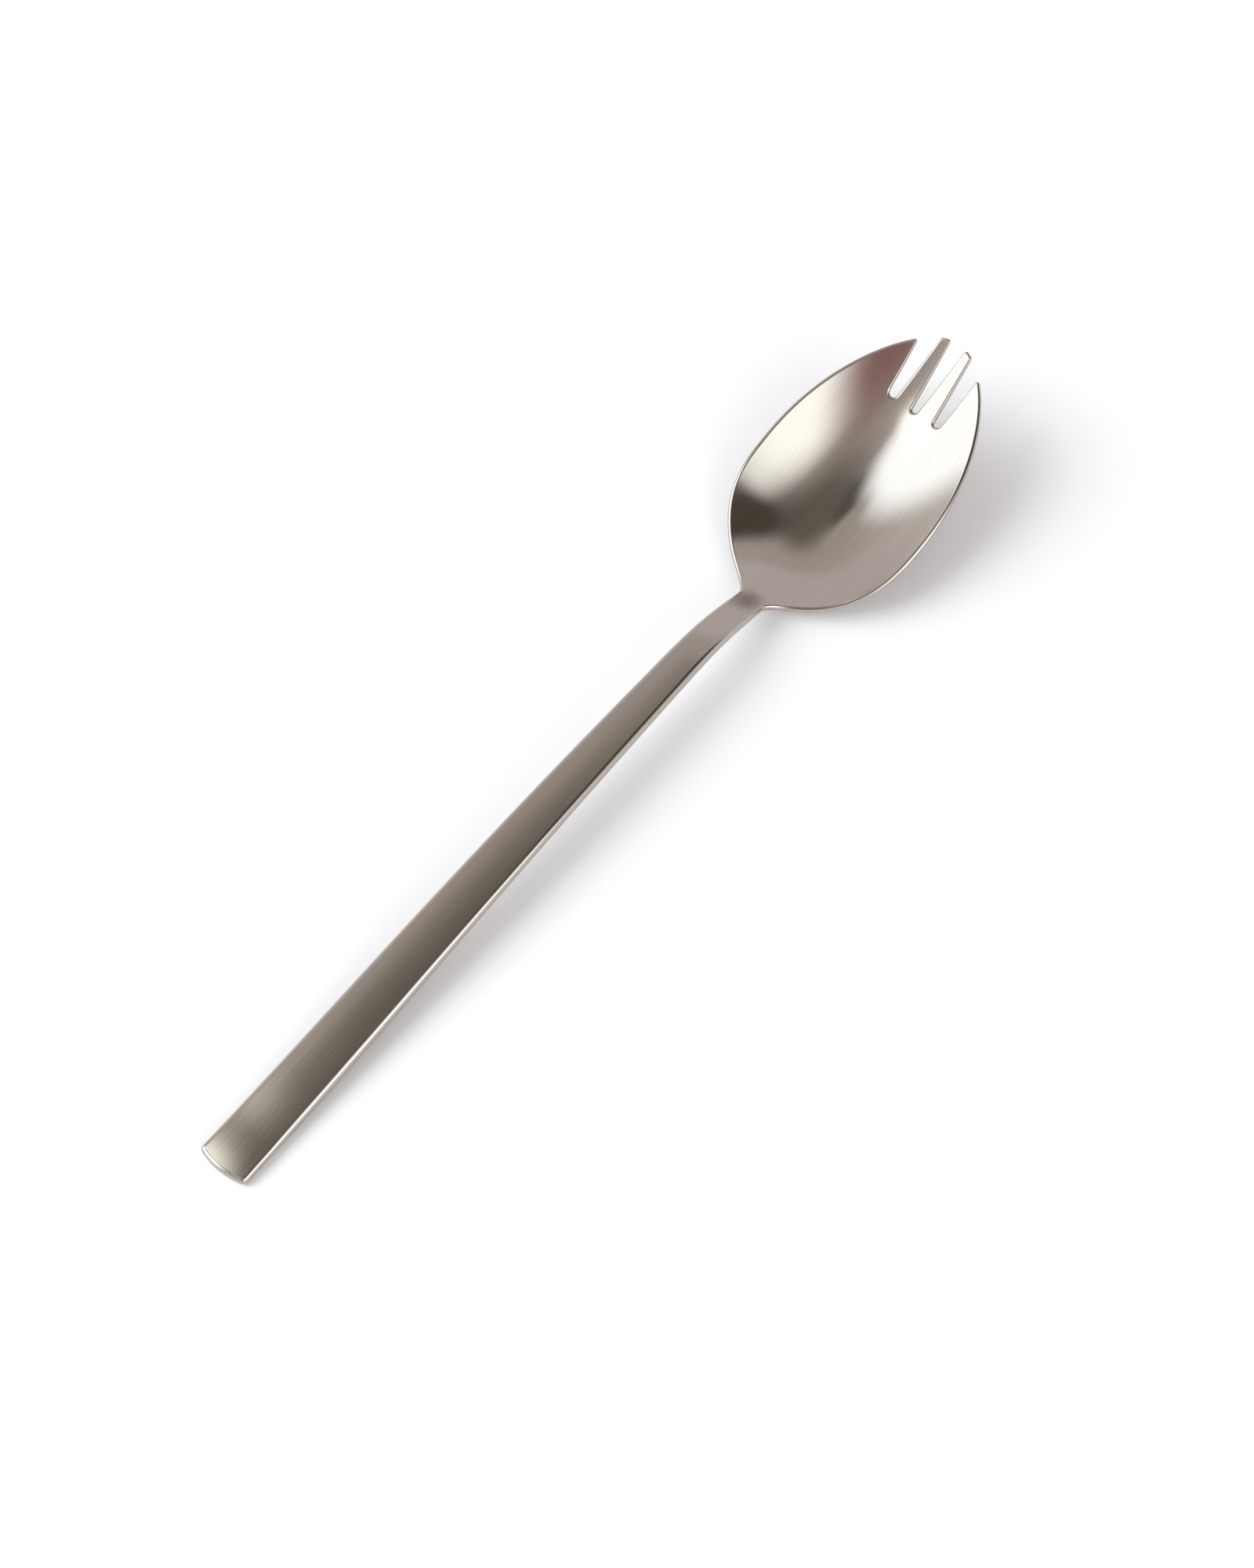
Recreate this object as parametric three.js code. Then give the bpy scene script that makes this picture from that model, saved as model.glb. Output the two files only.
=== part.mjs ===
import * as THREE from 'three';

// A snack fork made from one piece of stainless steel: a flat arched handle, a thin spoon-shaped bowl, and
// three slots that cut the front of the bowl into four short tines. Millimetres, +Z up. It lies face up as on
// a table, its length along X with the tines towards +X. A station is a distance along the fork from the end of
// the handle, and a point of the steel sheet is given by its station and its distance from the middle line.

const { clamp, degToRad, lerp, smootherstep } = THREE.MathUtils;

// Lengths along the fork.
const handleLength = 106.5; // end of the handle to the heel, where the bowl's own outline starts
const heelLength = 19.9; // heel to the widest place of the bowl
const frontLength = 24.8; // widest place to the front of the blank that the tines are cut from
const tineLength = 9.05; // centres of the slots' round roots to the front of the blank

// Widths, measured over the rounded edges.
const handleEndWidth = 7.63;
const neckWidth = 3.83; // before the fillet widens it
const bowlWidth = 27.7;
const neckFillet = 4.8; // how far the fillet between neck and bowl reaches
const endCornerRadius = 0.3; // of the flat face at the end of the handle
const endBow = 0.4; // how far the middle of the handle's end stands out

// Thickness of the steel.
const handleThickness = 2;
const bowlThickness = 0.85;
const tineTipThickness = 0.65;
const edgeShare = 0.42; // how far a rounded edge stands out from the flat faces, of the thickness
const handleCrown = 0.15; // how much lower the top of the handle lies at its sides than in its middle
const endEase = 0.6; // how much lower it lies at its end, where the handle is thinner
const endEaseLength = 17;

// The middle line of the sheet, seen from the side.
const restLength = 6; // the flat under the end of the handle
const archLength = 105; // that flat to the top of the arch, were there no drop
const archHeight = 5.35;
const dropLead = 15.7; // the handle starts to drop this far before the heel
const dropLength = 30.9;
const riseLead = 18.7; // the front starts to rise this far before the widest place
const frontRise = 14.45;

// The bowl's cross-section.
const bowlDepth = 5.15; // the rim over the middle line, at the widest place
const dishLead = 6.7; // the sheet starts to bend across this far before the heel
const dishLength = 18;
const thinningLead = 13; // the thick neck starts to thin this far before the heel
const thinningLength = 20;
const spineHalfWidth = 1.6; // the thick middle of the neck, and how wide it fades into the bowl
const spineFade = 3.5;

// The slots and tines.
const middleSlotRootWidth = 1;
const middleSlotMouthWidth = 2.55;
const outerSlotRootWidth = 1.25;
const outerSlotMouthWidth = 2.75;
const innerTineRootWidth = 2.8;
const innerTineTipWidth = 1.35;
const innerTineCorner = 0.12; // corner radius of the flat face at the tip
const outerTineTipWidth = 0.06; // the flat face at the pointed tip
const rootBlend = 3; // how far behind the slots the rows of the sheet bend to follow their round roots

// Exponents of the curves. In the bowl's outline, 2 and a half would be an ellipse, and higher ones have squarer
// shoulders.
const heelShoulder = 3;
const heelRoundness = 1.1;
const frontShoulder = 2;
const frontRoundness = 0.59;
const handleTaper = 1.6;
const archEase = 0.612;
const riseSteepness = 2.29;

// How finely the surfaces are divided.
const cornerRows = 4;
const restRows = 2;
const handleRows = 12;
const neckRows = 16;
const frontRows = 10;
const tineRows = 6;
const outerTineColumns = 3;
const innerTineColumns = 3;
const slotColumns = 4;
const edgeSteps = 4;
const solveSteps = 40;
const surveySteps = 120;
const slopeReach = 0.007; // a slope is measured over this far each way

// Stations and sizes that follow from these.
const heelStation = handleLength;
const widestStation = heelStation + heelLength;
const frontStation = widestStation + frontLength;
const rootStation = frontStation - tineLength;
const dropStation = heelStation - dropLead;
const riseStation = widestStation - riseLead;
const dishStation = heelStation - dishLead;
const thinningStation = heelStation - thinningLead;
const endInset = edgeShare * (handleThickness - endEase);
const halfBowl = bowlWidth / 2;

// Finds where a falling measure reaches zero, by halving the range between two places.
function solveFalling(measure, from, to) {
	let low = from;
	let high = to;
	for (let step = 0; step < solveSteps; step++) {
		const middle = (low + high) / 2;
		if (measure(middle) > 0) {
			low = middle;
		} else {
			high = middle;
		}
	}
	return (low + high) / 2;
}

// The half width of the handle, which tapers from its end to the neck, slowly at first.
function stemHalfWidth(station) {
	return lerp(handleEndWidth, neckWidth, clamp(station / handleLength, 0, 1) ** handleTaper) / 2;
}

// How far the handle has thinned into the bowl, from 0 to 1.
function thinning(station) {
	return smootherstep(station, thinningStation, thinningStation + thinningLength);
}

// How far the top of the handle lies below a flat one: it is crowned, and eases down to its end.
function topEase(station, side) {
	const nearEnd = clamp(1 - station / endEaseLength, 0, 1);
	const share = clamp(side / stemHalfWidth(station), -1, 1);
	return handleCrown * (1 - thinning(station)) * share ** 2 + endEase * nearEnd ** 2;
}

// The thickness: full in the handle and the neck's middle, thin in the bowl, thinner at the tips of the tines.
function thickness(station, side) {
	const fade = smootherstep(Math.abs(side), spineHalfWidth, spineHalfWidth + spineFade);
	const across = 1 - fade * smootherstep(station, thinningStation, thinningStation + thinningLength / 2);
	const tipShare = clamp((station - rootStation) / tineLength, 0, 1);
	const thin = lerp(bowlThickness, tineTipThickness, tipShare);
	const extra = (handleThickness - bowlThickness) * (1 - thinning(station)) * across;
	return thin + extra - topEase(station, side);
}

// The half width over the rounded edges. The neck runs into the bowl's outline in a fillet, and the front of the
// blank closes like that of a spoon.
function halfWidth(station) {
	if (station >= widestStation) {
		const frontShare = clamp((station - widestStation) / frontLength, 0, 1);
		return halfBowl * (1 - frontShare ** frontShoulder) ** frontRoundness;
	}
	const heelShare = clamp((widestStation - station) / heelLength, 0, 1);
	const heel = halfBowl * (1 - heelShare ** heelShoulder) ** heelRoundness;
	const stem = stemHalfWidth(station);
	const meeting = Math.max(1 - Math.abs(stem - heel) / neckFillet, 0);
	return Math.max(stem, heel) + neckFillet * meeting ** 3 / 6;
}

// The half width of the flat faces, inside the rounded edges, with the corners at the end of the handle.
function faceHalfWidth(station) {
	const outer = halfWidth(station);
	const face = outer - edgeShare * thickness(station, outer);
	const intoCorner = clamp(endCornerRadius + endInset - station, 0, endCornerRadius);
	return face - endCornerRadius + Math.sqrt(endCornerRadius ** 2 - intoCorner ** 2);
}

// The three movements of the middle line: the handle's arch, its drop into the bowl and the rise of the front.
function arch(station) {
	const share = clamp((station - restLength) / archLength, 0, 1);
	return archHeight * smootherstep(share ** archEase, 0, 1);
}

function drop(station) {
	return smootherstep(station, dropStation, dropStation + dropLength);
}

function rise(station) {
	const share = Math.max((station - riseStation) / (frontStation - riseStation), 0);
	return frontRise * share ** riseSteepness;
}

// The drop brings the underside of the bowl down to the table that the end of the handle rests on.
function lowestUnderside(dropHeight) {
	let lowest = Infinity;
	for (let step = 0; step <= surveySteps; step++) {
		const station = lerp(heelStation, frontStation, step / surveySteps);
		const middle = arch(station) - dropHeight * drop(station) + rise(station);
		lowest = Math.min(lowest, middle + (handleThickness - thickness(station, 0)) / 2);
	}
	return lowest;
}

const dropHeight = solveFalling(lowestUnderside, 0, archHeight + frontRise);

// The bend of the sheet across the fork: the height of a point is the middle line's height plus this bend times
// the square of the point's distance from the middle line.
function dish(station) {
	return bowlDepth / halfBowl ** 2 * smootherstep(station, dishStation, dishStation + dishLength);
}

function sheetHeight(station, side) {
	const middle = arch(station) - dropHeight * drop(station) + rise(station);
	return (handleThickness - topEase(station, side)) / 2 + middle + dish(station) * side ** 2;
}

// The direction square to the sheet, from its slopes along and across the fork.
function sheetNormal(station, side) {
	const along = sheetHeight(station + slopeReach, side) - sheetHeight(station - slopeReach, side);
	const across = sheetHeight(station, side + slopeReach) - sheetHeight(station, side - slopeReach);
	return new THREE.Vector3(-along, -across, 2 * slopeReach).normalize();
}

// A place on the sheet: its middle, the direction square to it, its thickness, and its points on both faces.
function sheetPlace(station, side) {
	const middle = new THREE.Vector3(station, side, sheetHeight(station, side));
	const normal = sheetNormal(station, side);
	const thick = thickness(station, side);
	const upper = middle.clone().addScaledVector(normal, thick / 2);
	const lower = middle.clone().addScaledVector(normal, -thick / 2);
	return { middle, normal, thick, upper, lower };
}

// Where the flat faces of the tines start and end across the fork, from the middle line outwards: both sides
// of an inner tine, and the inner side of an outer tine.
function tineLines(station) {
	const share = (station - rootStation) / tineLength;
	const inset = edgeShare * thickness(station, halfBowl);
	const innerTineStart = lerp(middleSlotRootWidth, middleSlotMouthWidth, share) / 2;
	const innerTineEnd = innerTineStart + lerp(innerTineRootWidth, innerTineTipWidth, share);
	const outerTineStart = innerTineEnd + lerp(outerSlotRootWidth, outerSlotMouthWidth, share);
	return [innerTineStart + inset, innerTineEnd - inset, outerTineStart + inset];
}

// The outer tines end in a point, where their inner side meets the rim.
const outerTineStation = solveFalling(
	(station) => faceHalfWidth(station) - tineLines(station)[2] - outerTineTipWidth,
	rootStation,
	frontStation,
);

// The inner tines end on the front of the blank, with small round corners.
function innerTineTip(share) {
	const [start, end] = tineLines(frontStation);
	const side = lerp(start, end, share);
	const frontShare = (1 - (side / halfBowl) ** (1 / frontRoundness)) ** (1 / frontShoulder);
	const fromCorner = Math.min(Math.min(share, 1 - share) * (end - start), innerTineCorner);
	const cut = innerTineCorner - Math.sqrt(innerTineCorner ** 2 - (innerTineCorner - fromCorner) ** 2);
	return widestStation + frontLength * frontShare - edgeShare * tineTipThickness - cut;
}

// The columns of the sheet, from one side to the other. Each belongs to a tine or to the slot beside it, and
// lies at a share of its width.
const outerTine = {
	tip: () => outerTineStation,
	sides: (station) => [tineLines(station)[2], faceHalfWidth(station)],
};
const innerTine = { tip: innerTineTip, sides: (station) => tineLines(station).slice(0, 2) };
const outerSlot = { sides: (station) => tineLines(station).slice(1, 3) };

function mirrored(strip) {
	return {
		tip: strip.tip && ((share) => strip.tip(1 - share)),
		sides: (station) => strip.sides(station).map((side) => -side).reverse(),
	};
}

const middleSlot = { sides: (station) => [-tineLines(station)[0], tineLines(station)[0]] };

const strips = [
	{ ...mirrored(outerTine), columns: outerTineColumns },
	{ ...mirrored(outerSlot), columns: slotColumns },
	{ ...mirrored(innerTine), columns: innerTineColumns },
	{ ...middleSlot, columns: slotColumns },
	{ ...innerTine, columns: innerTineColumns },
	{ ...outerSlot, columns: slotColumns },
	{ ...outerTine, columns: outerTineColumns },
];

function makeColumns() {
	const columns = [];
	for (const strip of strips) {
		const isTine = Boolean(strip.tip);
		const first = isTine ? 0 : 1;
		const last = isTine ? strip.columns : strip.columns - 1;
		for (let index = first; index <= last; index++) {
			columns.push({ strip, isTine, share: index / strip.columns });
		}
	}
	return columns;
}

const columns = makeColumns();

// The rows of the sheet, from the end of the handle to the slots, closest together at the corners of the end.
function makeRows() {
	const stations = [];
	const spread = (from, to, count) => {
		for (let index = 0; index < count; index++) {
			stations.push(lerp(from, to, index / count));
		}
	};
	for (let index = 0; index < cornerRows; index++) {
		const turn = degToRad(90 * index / cornerRows);
		stations.push(endInset + endCornerRadius * (1 - Math.cos(turn)));
	}
	const filletStation = heelStation - neckFillet;
	spread(endInset + endCornerRadius, restLength, restRows);
	spread(restLength, filletStation, handleRows);
	spread(filletStation, widestStation, neckRows);
	spread(widestStation, rootStation, frontRows);
	stations.push(rootStation);
	return stations;
}

const rows = makeRows();
const rootRow = rows.length - 1;
const lastRow = rootRow + tineRows;

// Behind the slots, each column keeps its share of the width. The last rows bend back to follow the round roots,
// and the first ones follow the bow of the handle's end.
function placeBehindSlots(station, column) {
	const [start, end] = column.strip.sides(rootStation);
	const rootSide = lerp(start, end, column.share);
	const widthShare = rootSide / faceHalfWidth(rootStation);
	let shift = endBow * widthShare ** 2 * clamp((restLength - station) / (restLength - endInset), 0, 1);
	if (!column.isTine) {
		const rootRadius = (end - start) / 2;
		const fromCentre = rootSide - (start + end) / 2;
		const blend = clamp((station - rootStation) / rootBlend + 1, 0, 1);
		shift -= blend * Math.sqrt(rootRadius ** 2 - fromCentre ** 2);
	}
	return sheetPlace(station + shift, widthShare * faceHalfWidth(station));
}

function placeOnTine(rowShare, column) {
	const station = lerp(rootStation, column.strip.tip(column.share), rowShare);
	const [start, end] = column.strip.sides(station);
	return sheetPlace(station, lerp(start, end, column.share));
}

function makePlaces() {
	const places = rows.map((station) => columns.map((column) => placeBehindSlots(station, column)));
	for (let row = 1; row <= tineRows; row++) {
		places.push(columns.map((column) => (column.isTine ? placeOnTine(row / tineRows, column) : null)));
	}
	return places;
}

// The edge of the sheet, once round anticlockwise from above, as pairs of row and column: along one side to the
// tips, in and out of each slot, back along the other side and across the end of the handle.
function edgePath() {
	const path = [];
	for (let row = 0; row < rootRow; row++) {
		path.push([row, 0]);
	}
	columns.forEach((column, index) => {
		if (column.isTine && column.share === 0) {
			for (let row = rootRow; row < lastRow; row++) {
				path.push([row, index]);
			}
		}
		path.push([column.isTine ? lastRow : rootRow, index]);
		if (column.isTine && column.share === 1) {
			for (let row = lastRow - 1; row >= rootRow; row--) {
				path.push([row, index]);
			}
		}
	});
	const lastColumn = columns.length - 1;
	for (let row = rootRow - 1; row > 0; row--) {
		path.push([row, lastColumn]);
	}
	for (let index = lastColumn; index > 0; index--) {
		path.push([0, index]);
	}
	return path;
}

// The whole fork as one closed surface: the upper and lower faces of the sheet, and a rounded edge between them.
function makeForkGeometry() {
	const places = makePlaces();
	const positions = [];
	const triangles = [];
	const addPoint = (point) => {
		positions.push(point.x, point.y, point.z);
		return positions.length / 3 - 1;
	};
	for (const place of places.flat()) {
		if (place) {
			place.upperIndex = addPoint(place.upper);
			place.lowerIndex = addPoint(place.lower);
		}
	}

	for (let row = 0; row < lastRow; row++) {
		for (let index = 0; index < columns.length - 1; index++) {
			const joined = columns[index].strip === columns[index + 1].strip && columns[index].isTine;
			if (row >= rootRow && !joined) {
				continue;
			}
			const near = places[row][index];
			const nearNext = places[row][index + 1];
			const far = places[row + 1][index];
			const farNext = places[row + 1][index + 1];
			triangles.push(near.upperIndex, far.upperIndex, farNext.upperIndex);
			triangles.push(near.upperIndex, farNext.upperIndex, nearNext.upperIndex);
			triangles.push(near.lowerIndex, farNext.lowerIndex, far.lowerIndex);
			triangles.push(near.lowerIndex, nearNext.lowerIndex, farNext.lowerIndex);
		}
	}

	const edge = edgePath().map(([row, index]) => places[row][index]);
	const rounds = edge.map((place, index) => {
		const before = edge.at(index - 1).middle;
		const after = edge[(index + 1) % edge.length].middle;
		const outward = after.clone().sub(before).cross(place.normal).normalize();
		const round = [place.upperIndex];
		for (let step = 1; step < edgeSteps; step++) {
			const turn = degToRad(90 - 180 * step / edgeSteps);
			const point = place.middle.clone();
			point.addScaledVector(outward, edgeShare * place.thick * Math.cos(turn));
			point.addScaledVector(place.normal, place.thick / 2 * Math.sin(turn));
			round.push(addPoint(point));
		}
		round.push(place.lowerIndex);
		return round;
	});
	rounds.forEach((round, index) => {
		const next = rounds[(index + 1) % rounds.length];
		for (let step = 0; step < edgeSteps; step++) {
			triangles.push(round[step], round[step + 1], next[step + 1]);
			triangles.push(round[step], next[step + 1], next[step]);
		}
	});

	const geometry = new THREE.BufferGeometry();
	geometry.setAttribute('position', new THREE.Float32BufferAttribute(positions, 3));
	geometry.setIndex(triangles);
	geometry.computeVertexNormals();
	return geometry;
}

// Brushed stainless steel, slightly warm.
const steel = new THREE.MeshStandardMaterial({ color: 0xb8b0a8, roughness: 0.3, metalness: 1 });

// The origin is on the table, under the middle of the fork's length.
const forkGeometry = makeForkGeometry();
forkGeometry.computeBoundingBox();
const forkBody = new THREE.Mesh(forkGeometry, steel);
forkBody.name = 'fork_body';
forkBody.position.x = -(forkGeometry.boundingBox.min.x + forkGeometry.boundingBox.max.x) / 2;

const group = new THREE.Group();
group.add(forkBody);

export default group;
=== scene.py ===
"""A brushed stainless steel snack fork lying face up on a white surface, lit by a soft studio.

The fork is one sheet of steel, bent and slotted, so the model is one closed surface. It is worked out from
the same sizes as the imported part, at a finer division, and takes its place along X from that part.
"""

import logging
import math
from dataclasses import dataclass, field
from enum import Enum
from typing import Callable, Sequence

import bpy
import numpy as np
from mathutils import Matrix, Vector


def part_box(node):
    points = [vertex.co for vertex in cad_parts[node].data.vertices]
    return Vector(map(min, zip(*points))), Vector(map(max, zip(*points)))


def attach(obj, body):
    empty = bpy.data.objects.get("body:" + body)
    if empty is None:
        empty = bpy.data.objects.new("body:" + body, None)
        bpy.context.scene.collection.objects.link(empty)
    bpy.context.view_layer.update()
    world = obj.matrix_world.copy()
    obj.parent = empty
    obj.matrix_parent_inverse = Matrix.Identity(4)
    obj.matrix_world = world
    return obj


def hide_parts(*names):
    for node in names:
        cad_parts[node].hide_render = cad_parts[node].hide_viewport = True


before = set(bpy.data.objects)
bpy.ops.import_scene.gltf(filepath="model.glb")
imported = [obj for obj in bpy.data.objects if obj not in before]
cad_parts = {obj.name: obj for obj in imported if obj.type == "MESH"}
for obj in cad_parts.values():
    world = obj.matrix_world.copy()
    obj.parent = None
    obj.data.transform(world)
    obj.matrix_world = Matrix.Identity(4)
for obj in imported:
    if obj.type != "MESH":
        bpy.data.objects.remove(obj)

LOG = logging.getLogger("snack_fork")
NODE = "fork_body"
MM = 0.001
Array = np.ndarray


def smoother_step(value: Array, low: float, high: float) -> Array:
    """Rises smoothly from 0 to 1 between two values.

    With x the share of the way from low to high, held between 0 and 1, the result is 6x^5 - 15x^4 + 10x^3,
    whose slope and bend are zero at both ends.

    Args:
        value: Where to read the step.
        low: The step is 0 up to here.
        high: The step is 1 from here on.

    Returns:
        The step at each value.
    """
    x = np.clip((value - low) / (high - low), 0.0, 1.0)
    return x**3 * (x * (6.0 * x - 15.0) + 10.0)


def mix(start: Array, end: Array, share: Array) -> Array:
    """Returns the value that lies at a share of the way from start to end."""
    return start + (end - start) * share


@dataclass(frozen=True)
class Outline:
    """The fork's outline from above, in metres. A station is a distance along it from the handle's end."""

    handle_length: float = 106.5 * MM
    heel_length: float = 19.9 * MM
    front_length: float = 24.8 * MM
    end_width: float = 7.63 * MM
    neck_width: float = 3.83 * MM
    bowl_width: float = 27.7 * MM
    fillet: float = 4.8 * MM
    corner_radius: float = 0.3 * MM
    end_bow: float = 0.4 * MM
    taper: float = 1.6
    heel_shoulder: float = 3.0
    heel_roundness: float = 1.1
    front_shoulder: float = 2.0
    front_roundness: float = 0.59

    @property
    def heel(self) -> float:
        """The station where the bowl's own outline starts."""
        return self.handle_length

    @property
    def widest(self) -> float:
        """The station where the bowl is widest."""
        return self.heel + self.heel_length

    @property
    def front(self) -> float:
        """The station of the front of the blank that the tines are cut from."""
        return self.widest + self.front_length

    def stem_half_width(self, station: Array) -> Array:
        """Returns the half width of the handle, which tapers by a power of the share of its length."""
        share = np.clip(station / self.handle_length, 0.0, 1.0) ** self.taper
        return mix(self.end_width, self.neck_width, share) / 2

    def half_width(self, station: Array) -> Array:
        """Works out the half width over the rounded edges.

        The bowl's heel and front are each half the bowl's width times (1 - d^shoulder)^roundness, with d the
        distance from the widest place as a share of that part's length. Where handle and heel meet, the
        larger of the two gets a fillet of a sixth of the fillet's size times the cube of how near the two
        widths are to each other.

        Args:
            station: Distances from the handle's end.

        Returns:
            The half widths.
        """
        half = self.bowl_width / 2
        ahead = np.clip((station - self.widest) / self.front_length, 0.0, 1.0)
        nose = half * (1.0 - ahead**self.front_shoulder) ** self.front_roundness
        behind = np.clip((self.widest - station) / self.heel_length, 0.0, 1.0)
        heel = half * (1.0 - behind**self.heel_shoulder) ** self.heel_roundness
        stem = self.stem_half_width(station)
        meeting = np.maximum(1.0 - np.abs(stem - heel) / self.fillet, 0.0)
        rear = np.maximum(stem, heel) + self.fillet * meeting**3 / 6
        return np.where(station >= self.widest, nose, rear)


@dataclass(frozen=True)
class SideView:
    """The middle line of the sheet seen from the side, in metres: an arch, a drop and a rising front."""

    rest_length: float = 6.0 * MM
    arch_length: float = 105.0 * MM
    arch_height: float = 5.35 * MM
    arch_ease: float = 0.612
    drop_lead: float = 15.7 * MM
    drop_length: float = 30.9 * MM
    rise_lead: float = 18.7 * MM
    front_rise: float = 14.45 * MM
    rise_steepness: float = 2.29

    def arch(self, station: Array) -> Array:
        """Works out the handle's arch: its height times the smoother step of an eased share of its length."""
        share = np.clip((station - self.rest_length) / self.arch_length, 0.0, 1.0)
        return self.arch_height * smoother_step(share**self.arch_ease, 0.0, 1.0)

    def drop(self, station: Array, outline: Outline) -> Array:
        """Works out how far the handle has dropped into the bowl, as a share of the whole drop."""
        start = outline.heel - self.drop_lead
        return smoother_step(station, start, start + self.drop_length)

    def rise(self, station: Array, outline: Outline) -> Array:
        """Works out the rise of the front: its height times a power of the share of its length."""
        start = outline.widest - self.rise_lead
        share = np.maximum((station - start) / (outline.front - start), 0.0)
        return self.front_rise * share**self.rise_steepness


@dataclass(frozen=True)
class Dish:
    """The bend of the sheet across the bowl, in metres."""

    depth: float = 5.15 * MM
    lead: float = 6.7 * MM
    length: float = 18.0 * MM

    def bend(self, station: Array, outline: Outline) -> Array:
        """Works out the height gained per square of the distance from the middle line.

        It is the depth over the square of half the bowl's width, faded in from the heel by a smoother step.
        """
        start = outline.heel - self.lead
        full = self.depth / (outline.bowl_width / 2) ** 2
        return full * smoother_step(station, start, start + self.length)


@dataclass(frozen=True)
class Wall:
    """The thickness of the steel, in metres."""

    handle: float = 2.0 * MM
    bowl: float = 0.85 * MM
    tine_tip: float = 0.65 * MM
    edge_share: float = 0.42
    crown: float = 0.15 * MM
    end_ease: float = 0.6 * MM
    end_ease_length: float = 17.0 * MM
    thinning_lead: float = 13.0 * MM
    thinning_length: float = 20.0 * MM
    spine_half_width: float = 1.6 * MM
    spine_fade: float = 3.5 * MM

    def thinning(self, station: Array, outline: Outline) -> Array:
        """Works out how far the handle has thinned into the bowl, as a share from 0 to 1."""
        start = outline.heel - self.thinning_lead
        return smoother_step(station, start, start + self.thinning_length)

    def top_ease(self, station: Array, side: Array, outline: Outline) -> Array:
        """Works out how far the top of the handle lies below a flat one.

        It is the crown times the square of the share of the handle's half width, plus the ease of the end
        times the square of how near the end is, as a share of the ease's length.
        """
        near_end = np.clip(1.0 - station / self.end_ease_length, 0.0, 1.0)
        share = np.clip(side / outline.stem_half_width(station), -1.0, 1.0)
        crown = self.crown * (1.0 - self.thinning(station, outline)) * share**2
        return crown + self.end_ease * near_end**2

    def thickness(
        self, station: Array, side: Array, outline: Outline, root: float, tine_length: float
    ) -> Array:
        """Works out the thickness of the sheet.

        The handle's extra thickness fades along the neck by a smoother step, and sooner away from the middle
        of the neck. Past the slots' roots the thin sheet tapers in a straight line to the tips' thickness.
        The ease of the top comes off it.

        Args:
            station: Distances from the handle's end.
            side: Distances from the middle line.
            outline: The outline that gives the heel.
            root: The station of the centres of the slots' round roots.
            tine_length: The length of the tines.

        Returns:
            The thickness at each place.
        """
        start = outline.heel - self.thinning_lead
        fade = smoother_step(np.abs(side), self.spine_half_width, self.spine_half_width + self.spine_fade)
        across = 1.0 - fade * smoother_step(station, start, start + self.thinning_length / 2)
        tip_share = np.clip((station - root) / tine_length, 0.0, 1.0)
        thin = mix(self.bowl, self.tine_tip, tip_share)
        along = 1.0 - self.thinning(station, outline)
        full = thin + (self.handle - self.bowl) * along * across
        return full - self.top_ease(station, side, outline)


@dataclass(frozen=True)
class Slots:
    """The three slots and the tines between them, in metres."""

    tine_length: float = 9.05 * MM
    middle_root_width: float = 1.0 * MM
    middle_mouth_width: float = 2.55 * MM
    outer_root_width: float = 1.25 * MM
    outer_mouth_width: float = 2.75 * MM
    tine_root_width: float = 2.8 * MM
    tine_tip_width: float = 1.35 * MM
    tine_corner: float = 0.12 * MM
    outer_tip_width: float = 0.06 * MM
    root_blend: float = 3.0 * MM

    def lines(self, station: Array, root: float, inset: Array) -> tuple[Array, Array, Array]:
        """Works out where the flat faces of the tines start and end across the fork.

        Each slot widens and each inner tine narrows in a straight line from the roots to the front.

        Args:
            station: Distances from the handle's end.
            root: The station of the centres of the slots' round roots.
            inset: How far the rounded edges stand out from the flat faces.

        Returns:
            The inner and the outer side of an inner tine, and the inner side of an outer tine, as distances
            from the middle line.
        """
        share = (station - root) / self.tine_length
        inner_start = mix(self.middle_root_width, self.middle_mouth_width, share) / 2
        inner_end = inner_start + mix(self.tine_root_width, self.tine_tip_width, share)
        outer_start = inner_end + mix(self.outer_root_width, self.outer_mouth_width, share)
        return inner_start + inset, inner_end - inset, outer_start + inset


class Strip(Enum):
    """The strips that the sheet is divided into across the fork."""

    OUTER_TINE = "outer tine"
    INNER_TINE = "inner tine"
    OUTER_SLOT = "outer slot"
    MIDDLE_SLOT = "middle slot"

    @property
    def is_tine(self) -> bool:
        """Whether the strip is steel all the way to the front."""
        return self in (Strip.OUTER_TINE, Strip.INNER_TINE)


STRIP_ORDER = (
    (Strip.OUTER_TINE, -1.0),
    (Strip.OUTER_SLOT, -1.0),
    (Strip.INNER_TINE, -1.0),
    (Strip.MIDDLE_SLOT, 1.0),
    (Strip.INNER_TINE, 1.0),
    (Strip.OUTER_SLOT, 1.0),
    (Strip.OUTER_TINE, 1.0),
)


@dataclass(frozen=True)
class Fineness:
    """How finely the surfaces are divided."""

    corner_rows: int = 10
    rest_rows: int = 14
    handle_rows: int = 180
    neck_rows: int = 84
    front_rows: int = 48
    tine_rows: int = 36
    tine_columns: int = 12
    slot_columns: int = 10
    edge_steps: int = 12
    solve_steps: int = 40
    survey_steps: int = 120
    slope_reach: float = 0.007 * MM


@dataclass(frozen=True)
class Places:
    """Places on the sheet: its middle, the direction square to it, its thickness and both its coordinates."""

    middle: Array
    normal: Array
    thick: Array
    station: Array
    side: Array

    def pick(self, rows: Array, columns: Array) -> "Places":
        """Returns the places at pairs of a row and a column."""
        return Places(*(getattr(self, name)[rows, columns] for name in self.__dataclass_fields__))


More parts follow.
